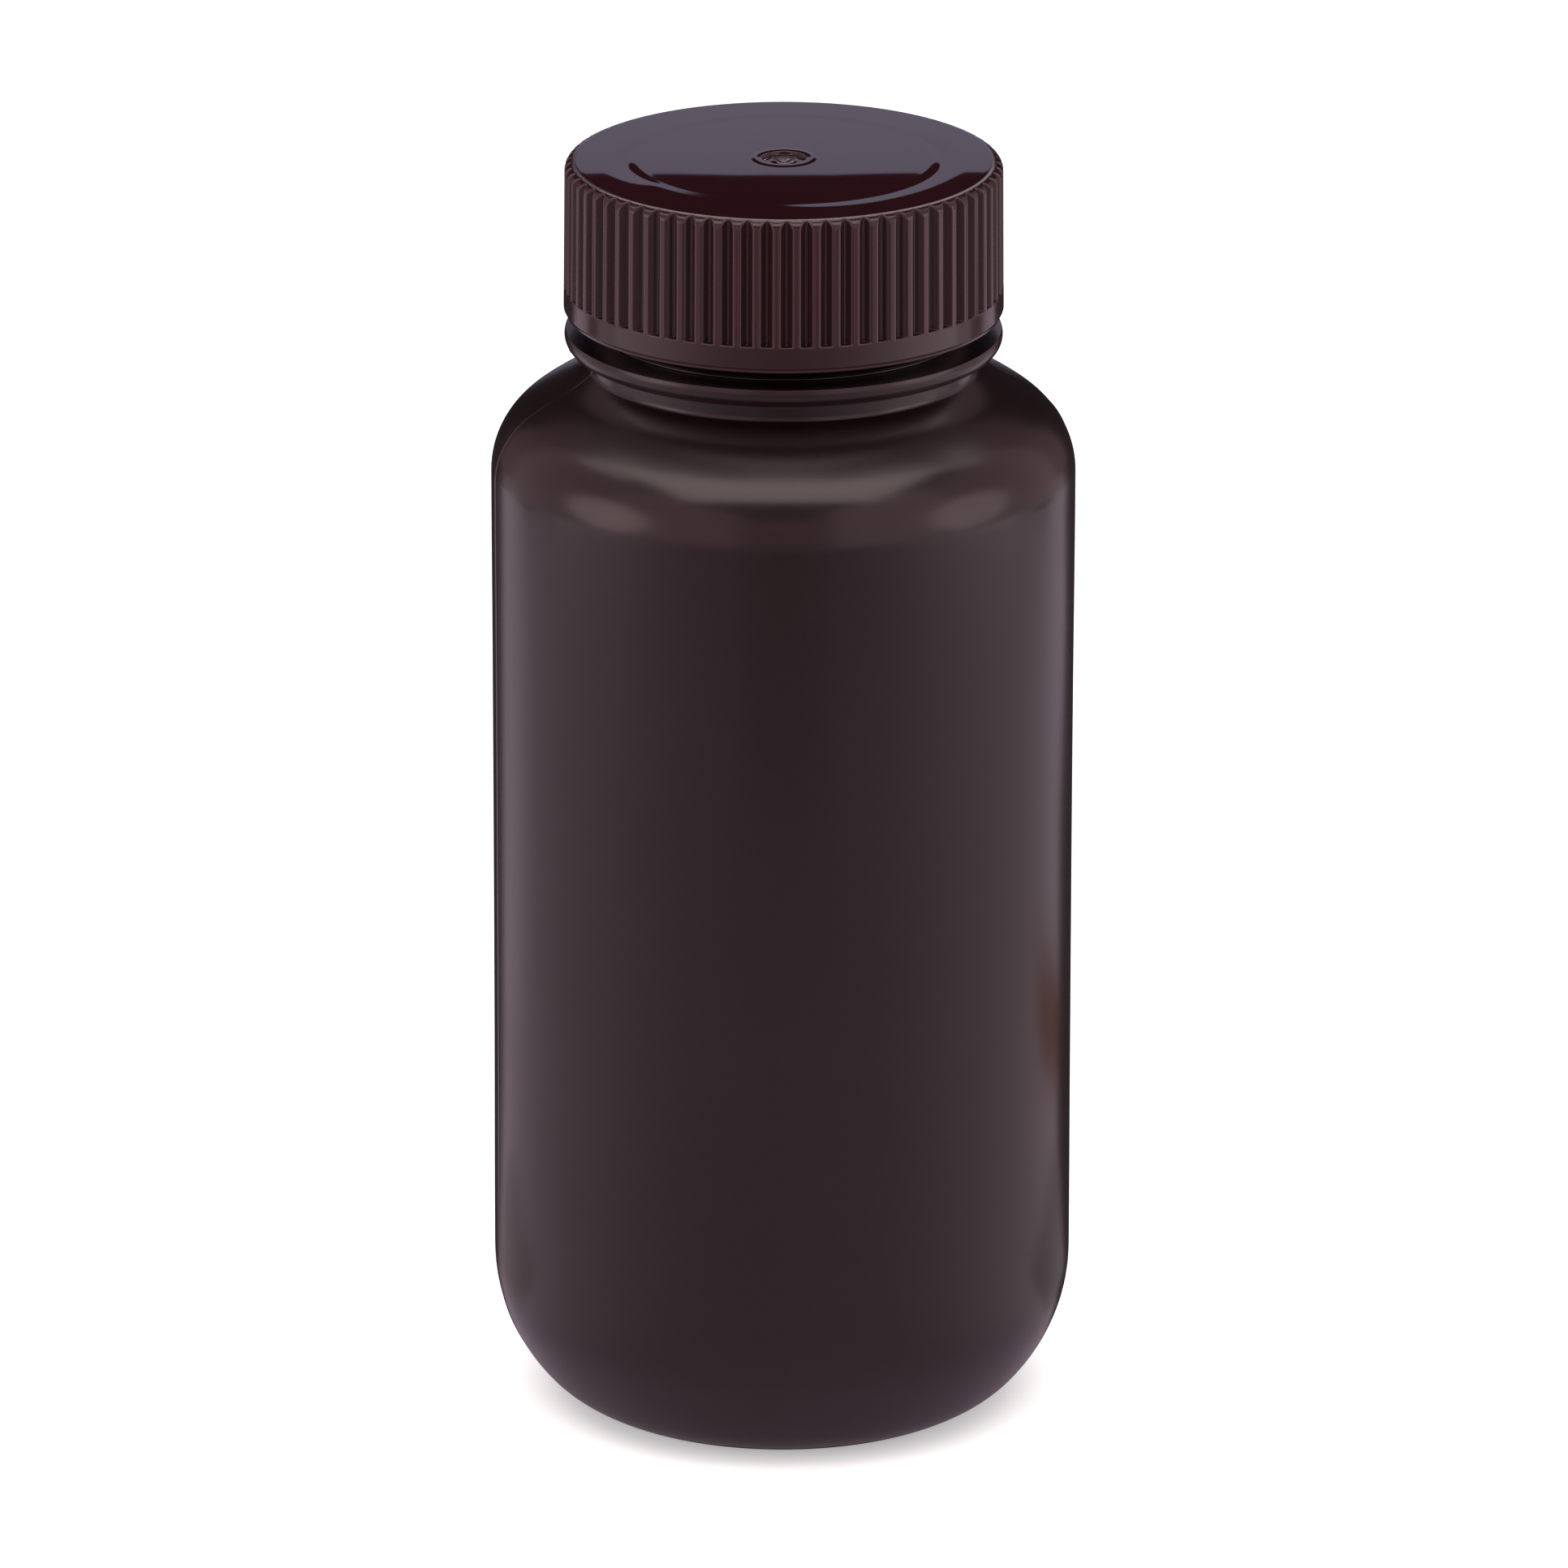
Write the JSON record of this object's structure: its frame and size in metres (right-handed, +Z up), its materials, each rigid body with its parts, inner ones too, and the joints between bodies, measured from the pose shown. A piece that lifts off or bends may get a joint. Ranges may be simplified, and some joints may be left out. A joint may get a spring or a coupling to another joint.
{
  "type": "reagent bottle",
  "caption": "Wide-mouth dark brown plastic reagent bottle with a round body, a collar under the neck finish and a ribbed screw cap over a sealing disc.",
  "frame": {"origin": "centre of the ring that the bottle stands on, at the lowest point", "axes": "+Z up along the bottle's axis to the cap; -Y is the side that faces the viewer in the picture, +X is to the viewer's right"},
  "size_m": [0.075, 0.075, 0.1669],
  "materials": {
    "bottle_plastic": "satin",
    "cap_plastic": "semi-gloss",
    "disc_foam": "matte"
  },
  "bodies": {
    "bottle": {"bottle_body": "bottle_plastic"},
    "seal": {"sealing_disc": "disc_foam"},
    "closure": {"screw_cap": "cap_plastic"}
  },
  "joints": [
    {"name": "cap_lift", "type": "slide", "parent": "bottle", "child": "seal", "axis": [0, 0, 1], "range_m": [0, 0.02101]},
    {"name": "cap_turn", "type": "hinge", "parent": "seal", "child": "closure", "pos_m": [0, 0, 0.15], "axis": [0, 0, 1], "range_deg": [0, 1800]}
  ],
  "couplings": [
    {"joint": "cap_lift", "follows": "cap_turn", "m_per_rad": 0.00066845}
  ]
}
